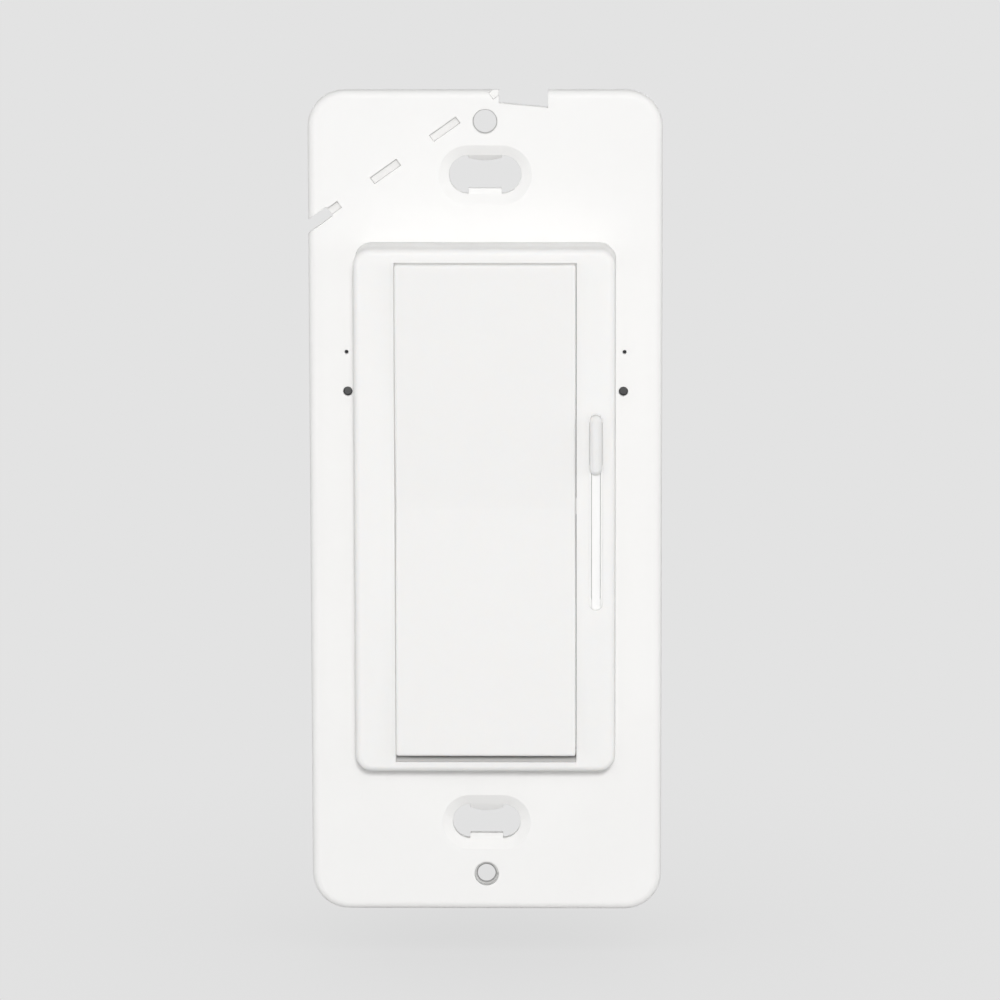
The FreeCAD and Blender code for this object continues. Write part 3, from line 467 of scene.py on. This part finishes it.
def housing_plastic():
    """Spark-textured dark moulding, smoother inside the recessed panel of its rear face."""
    look = Look("housing_plastic")
    x, y, z = look.axes()
    across = look.within(x, PANEL_HALF_X, PANEL_SOFT)
    upright = look.within(z, PANEL_HALF_Z, PANEL_SOFT)
    rear = look.ramp(y, 0, 1, PANEL_Y - PANEL_SOFT, PANEL_Y)
    panel = look.maths("MULTIPLY", rear, look.maths("MULTIPLY", across, upright))
    tone = look.noise(HOUSING_TONE, detail=4)
    grain = look.noise(HOUSING_GRAIN, rough=0.6)
    rough = look.ramp(look.noise(HOUSING_SHEEN), *HOUSING_ROUGHNESS)
    return look.set(
        Base_Color=look.blend(tone, HOUSING_COLOUR, HOUSING_PALER),
        Roughness=look.maths("SUBTRACT", rough, look.maths("MULTIPLY", panel, PANEL_SMOOTHER)),
        Normal=look.bump(grain, *HOUSING_RELIEF, look.rounded(HOUSING_EDGE)),
    )


def metal(name, colour, shade, roughness):
    """Bare metal with fine marks and a soft change of tone."""
    look = Look(name)
    marks = look.noise(METAL_MARKS, detail=2)
    tone = look.ramp(look.noise(METAL_TONE), 0, 1)
    return look.set(
        Base_Color=look.blend(tone, colour, shade),
        Metallic=1.0,
        Roughness=look.ramp(marks, *roughness),
        Normal=look.bump(marks, *METAL_RELIEF, look.rounded(METAL_EDGE)),
    )


def circuit_board():
    """Solder mask over fine copper tracks, with the glass weave just showing."""
    look = Look("circuit_board")
    weave = look.add("ShaderNodeTexWave", Vector=look.place, Scale=BOARD_WEAVE)
    weave.bands_direction = "DIAGONAL"
    upright = look.add("ShaderNodeMapping", Vector=look.place, Rotation=(math.radians(90), 0, 0))
    tracks = look.add(
        "ShaderNodeTexBrick",
        Vector=upright.outputs["Vector"],
        Scale=BOARD_TRACKS,
        Color1=BOARD_MASK,
        Color2=BOARD_MASK_PALER,
        Mortar=TRACK_COLOUR,
        Mortar_Size=TRACK_WIDTH,
    )
    raised = look.bump(tracks.outputs["Fac"], *TRACK_RELIEF)
    return look.set(
        Base_Color=tracks.outputs["Color"],
        Roughness=look.ramp(weave.outputs["Fac"], *BOARD_ROUGHNESS),
        Normal=look.bump(weave.outputs["Fac"], *WEAVE_RELIEF, raised),
        Coat_Weight=BOARD_VARNISH,
    )


def dress(material, *names):
    """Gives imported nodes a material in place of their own."""
    for name in names:
        mesh = nodes[name].data
        mesh.materials.clear()
        mesh.materials.append(material)


def dress_nodes():
    """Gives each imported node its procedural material."""
    dress(painted(*YOKE_PAINT), "yoke")
    dress(housing_plastic(), "housing")
    dress(circuit_board(), "control_board", "power_board")
    makers = (
        (white_moulded, WHITE_PLASTICS),
        (milky, MILKY_PLASTICS),
        (moulded, MOULDINGS),
        (metal, METALS),
    )
    for make, rows in makers:
        for *looks, names in rows:
            dress(make(*looks), *names)


def thread_ridge(name, middle_z, height, material):
    """One run of thread round the inside of a hole through the yoke, as a closed triangular ridge."""
    steps = round(THREAD_TURNS * THREAD_STEPS)
    run = THREAD_TURNS * THREAD_PITCH
    start_y = YOKE_FRONT - (YOKE_FRONT + run) / 2
    root_r = COVER_HOLE_R + THREAD_SUNK
    ridge_r = COVER_HOLE_R - height
    foot = THREAD_FOOT * THREAD_PITCH
    profile = ((root_r, -foot), (ridge_r, 0.0), (root_r, foot))
    points = []
    for n in range(steps + 1):
        turn = 2 * math.pi * n / THREAD_STEPS
        y = start_y + run * n / steps
        points += [(r * math.cos(turn), y + dy, middle_z + r * math.sin(turn)) for r, dy in profile]
    size = len(profile)
    faces = [tuple(range(size)), tuple(range(len(points) - 1, len(points) - 1 - size, -1))]
    for n in range(steps):
        for side in range(size):
            here = n * size + side
            beside = n * size + (side + 1) % size
            faces.append((here, here + size, beside + size, beside))
    mesh = bpy.data.meshes.new(name)
    mesh.from_pydata(points, [], faces)
    mesh.polygons.foreach_set("use_smooth", [True] * len(mesh.polygons))
    add_object(name, mesh, "switch", material)


def make_threads():
    """Threads in the two wall-plate screw holes, shallow above and deep below, as the photograph shows."""
    paint = painted(*THREAD_PAINT)
    thread_ridge("upper_cover_thread", COVER_SCREW_Z, UPPER_THREAD_HEIGHT, paint)
    thread_ridge("lower_cover_thread", -COVER_SCREW_Z, LOWER_THREAD_HEIGHT, paint)


def stand_in(name, node_name, body, material, side=0):
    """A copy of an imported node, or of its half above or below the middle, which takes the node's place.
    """
    node = nodes[node_name]
    mesh = node.data.copy()
    mesh.transform(node.matrix_world)
    if side:
        work = bmesh.new()
        work.from_mesh(mesh)
        others = [vertex for vertex in work.verts if vertex.co.z * side < 0]
        bmesh.ops.delete(work, geom=others, context="VERTS")
        work.to_mesh(mesh)
        work.free()
    mesh.materials.clear()
    piece = add_object(name, mesh, body, material)
    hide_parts(node_name)
    return piece


def make_springs():
    """Copies of the plungers' springs and of the snap domes' upper and lower halves, in place of the
    imported nodes.
    """
    wire = metal(*SPRING_STEEL)
    sheet = metal(*DOME_STEEL)
    for place, side in (("upper", 1), ("lower", -1)):
        coil = stand_in(place + "_coil", place + "_plunger_spring", None, wire)
        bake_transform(coil)
        dome = stand_in(place + "_dome", "switch_domes", "switch", sheet, side)
        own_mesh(dome)


def sight(tree):
    """One for a ray from the camera, or one that a surface mirrors or lets through, and zero for light."""
    ray = tree.nodes.new("ShaderNodeLightPath").outputs
    total = ray["Is Camera Ray"]
    for name in ("Is Glossy Ray", "Is Transmission Ray"):
        larger = tree.nodes.new("ShaderNodeMath")
        larger.operation = "MAXIMUM"
        tree.links.new(total, larger.inputs[0])
        tree.links.new(ray[name], larger.inputs[1])
        total = larger.outputs[0]
    return total


def part_by_sight(tree, light, seen, output):
    """Gives the light one shader, and the camera and mirrored rays another."""
    mix = tree.nodes.new("ShaderNodeMixShader")
    tree.links.new(sight(tree), mix.inputs[0])
    tree.links.new(light.outputs[0], mix.inputs[1])
    tree.links.new(seen.outputs[0], mix.inputs[2])
    tree.links.new(mix.outputs[0], output.inputs["Surface"])


def make_floor():
    """A plain pale floor, seen in the tone of the world behind it but for a soft shadow under the part."""
    low = cad_box[0].z - FLOOR_DROP
    corners = [(x * FLOOR_HALF, y * FLOOR_HALF, low) for x, y in ((-1, -1), (1, -1), (1, 1), (-1, 1))]
    mesh = bpy.data.meshes.new("floor")
    mesh.from_pydata(corners, [], [(0, 1, 2, 3)])
    floor = bpy.data.objects.new("floor", mesh)
    bpy.context.scene.collection.objects.link(floor)
    look = Look("floor_pale")
    look.set(Base_Color=(*FLOOR_COLOUR, 1), Roughness=FLOOR_ROUGHNESS)
    shade = look.add("ShaderNodeAmbientOcclusion", Distance=SHADOW_REACH).outputs["AO"]
    tone = look.ramp(shade, BACKGROUND * SHADOW_TONE, BACKGROUND, 0, 1)
    plain = look.add("ShaderNodeEmission", Color=(1, 1, 1, 1), Strength=tone)
    part_by_sight(look.tree, look.shader, plain, look.tree.nodes["Material Output"])
    mesh.materials.append(look.material)


def make_world():
    """An even white studio, which the camera itself sees as the pale background."""
    world = bpy.data.worlds.new("studio")
    bpy.context.scene.world = world
    world.use_nodes = True
    tree = world.node_tree
    tree.nodes.clear()
    light = tree.nodes.new("ShaderNodeBackground")
    light.inputs["Color"].default_value = (1, 1, 1, 1)
    light.inputs["Strength"].default_value = WORLD_STRENGTH
    seen = tree.nodes.new("ShaderNodeBackground")
    seen.inputs["Color"].default_value = (BACKGROUND, BACKGROUND, BACKGROUND, 1)
    part_by_sight(tree, light, seen, tree.nodes.new("ShaderNodeOutputWorld"))


def make_lights():
    """The studio's area lamps."""
    for name, place, size, power in LAMPS:
        lamp = bpy.data.objects.new(name, bpy.data.lights.new(name, "AREA"))
        lamp.data.shape = "RECTANGLE"
        lamp.data.size, lamp.data.size_y = size
        lamp.data.energy = power
        lamp.location = place
        aim(lamp)
        bpy.context.scene.collection.objects.link(lamp)


bpy.context.scene.view_settings.view_transform = "Standard"
make_camera()
make_world()
make_lights()
make_floor()
dress_nodes()
make_threads()
make_springs()
